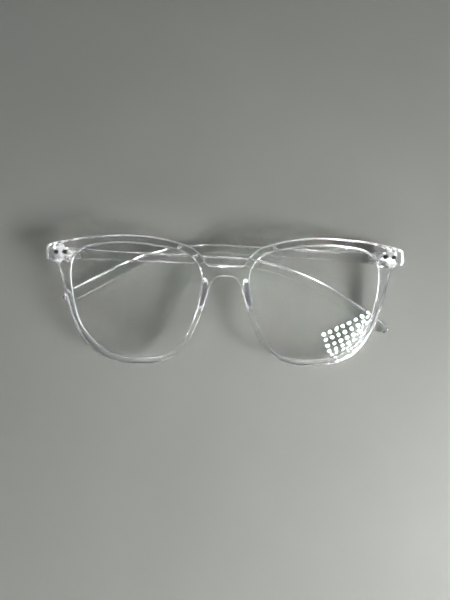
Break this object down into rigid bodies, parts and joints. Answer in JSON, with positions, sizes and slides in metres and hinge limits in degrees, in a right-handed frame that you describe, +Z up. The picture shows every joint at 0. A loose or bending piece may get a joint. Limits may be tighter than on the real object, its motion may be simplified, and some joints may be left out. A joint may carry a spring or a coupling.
{
  "type": "eyeglasses frame",
  "caption": "Clear moulded plastic eyeglasses frame with squarish full rims, clear lenses and folding temples on riveted hinges.",
  "frame": {"origin": "under the middle of the resting object's box, at table height", "axes": "+X across the face towards the right lens as seen from in front, +Y towards the brow along the table, +Z up, out of the lenses"},
  "size_m": [0.1438, 0.052, 0.0225],
  "materials": {
    "clear_plastic": "gloss",
    "lens": "gloss",
    "pad_plastic": "satin",
    "hinge_metal": "satin",
    "rivet_metal": "satin"
  },
  "bodies": {
    "front": {"front_frame": "clear_plastic", "lens_left": "lens", "lens_right": "lens", "nose_pad_left": "pad_plastic", "nose_pad_right": "pad_plastic", "front_rivet_inner_left": "rivet_metal", "front_rivet_outer_left": "rivet_metal", "front_rivet_inner_right": "rivet_metal", "front_rivet_outer_right": "rivet_metal", "hinge_front_leaf_left": "hinge_metal", "hinge_front_leaf_right": "hinge_metal", "hinge_screw_left": "hinge_metal", "hinge_screw_right": "hinge_metal"},
    "left_temple": {"temple_left": "clear_plastic", "hinge_temple_leaf_left": "hinge_metal", "temple_rivet_near_left": "rivet_metal", "temple_rivet_far_left": "rivet_metal"},
    "right_temple": {"temple_right": "clear_plastic", "hinge_temple_leaf_right": "hinge_metal", "temple_rivet_near_right": "rivet_metal", "temple_rivet_far_right": "rivet_metal"}
  },
  "joints": [
    {"name": "left_temple_hinge", "type": "hinge", "parent": "front", "child": "left_temple", "pos_m": [-0.06723, 0.01977, 0.01139], "axis": [0.0375, 0.977, 0.2101], "range_deg": [0, 90]},
    {"name": "right_temple_hinge", "type": "hinge", "parent": "front", "child": "right_temple", "pos_m": [0.06695, 0.01977, 0.00529], "axis": [-0.0619, -0.976, -0.2088], "range_deg": [0, 86.4]}
  ]
}
